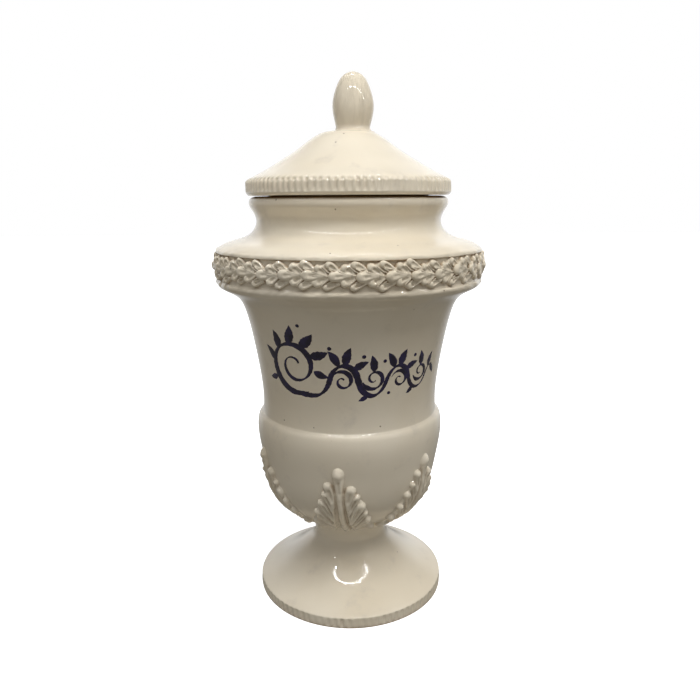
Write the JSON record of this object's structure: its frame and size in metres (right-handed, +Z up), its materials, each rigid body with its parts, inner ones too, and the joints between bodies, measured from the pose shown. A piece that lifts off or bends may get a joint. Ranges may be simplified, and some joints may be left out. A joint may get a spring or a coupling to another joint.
{
  "type": "apothecary jar",
  "caption": "Glazed earthenware apothecary jar on a pedestal foot, with leaf relief, painted flourish and a lift-off conical lid with an egg-shaped knob.",
  "frame": {"origin": "centre of the foot's resting ring, on the surface the jar stands on", "axes": "+Z up along the jar's axis; -Y is the front, where the painted flourish is"},
  "size_m": [0.151, 0.151, 0.3],
  "materials": {
    "cream_glaze": "glossy tin glaze, ivory, pooled brown in the hollows",
    "cobalt_brushwork": "dark blue painted under the glaze"
  },
  "bodies": {
    "jar": {"pedestal_foot": "cream_glaze", "bowl_base": "cream_glaze", "bowl": "cream_glaze", "body_wall": "cream_glaze", "shoulder_collar": "cream_glaze", "neck_rim": "cream_glaze", "belt_leaf_01": "cream_glaze", "belt_leaf_02": "cream_glaze", "belt_leaf_03": "cream_glaze", "belt_leaf_04": "cream_glaze", "belt_leaf_05": "cream_glaze", "belt_leaf_06": "cream_glaze", "belt_leaf_07": "cream_glaze", "belt_leaf_08": "cream_glaze", "belt_leaf_09": "cream_glaze", "belt_leaf_10": "cream_glaze", "belt_leaf_11": "cream_glaze", "belt_leaf_12": "cream_glaze", "belt_leaf_13": "cream_glaze", "belt_leaf_14": "cream_glaze", "belt_leaf_15": "cream_glaze", "belt_leaf_16": "cream_glaze", "belt_leaf_17": "cream_glaze", "belt_leaf_18": "cream_glaze", "belt_leaf_19": "cream_glaze", "belt_leaf_20": "cream_glaze", "belt_leaf_21": "cream_glaze", "belt_leaf_22": "cream_glaze", "belt_leaf_23": "cream_glaze", "belt_leaf_24": "cream_glaze", "belt_leaf_25": "cream_glaze", "belt_leaf_26": "cream_glaze", "belt_leaf_27": "cream_glaze", "belt_leaf_28": "cream_glaze", "belt_leaf_29": "cream_glaze", "belt_leaf_30": "cream_glaze", "belt_leaf_31": "cream_glaze", "belt_leaf_32": "cream_glaze", "belt_leaf_33": "cream_glaze", "belt_leaf_34": "cream_glaze", "belt_leaf_35": "cream_glaze", "belt_leaf_36": "cream_glaze", "acanthus_leaf_1": "cream_glaze", "acanthus_leaf_2": "cream_glaze", "acanthus_leaf_3": "cream_glaze", "acanthus_leaf_4": "cream_glaze", "acanthus_leaf_5": "cream_glaze", "acanthus_leaf_6": "cream_glaze"},
    "lid": {"lid_cover": "cream_glaze", "lid_flange": "cream_glaze", "finial": "cream_glaze"}
  },
  "joints": [
    {"name": "lid_lift", "type": "slide", "parent": "jar", "child": "lid", "axis": [0, 0, 1], "range_m": [0, 0.08]}
  ]
}
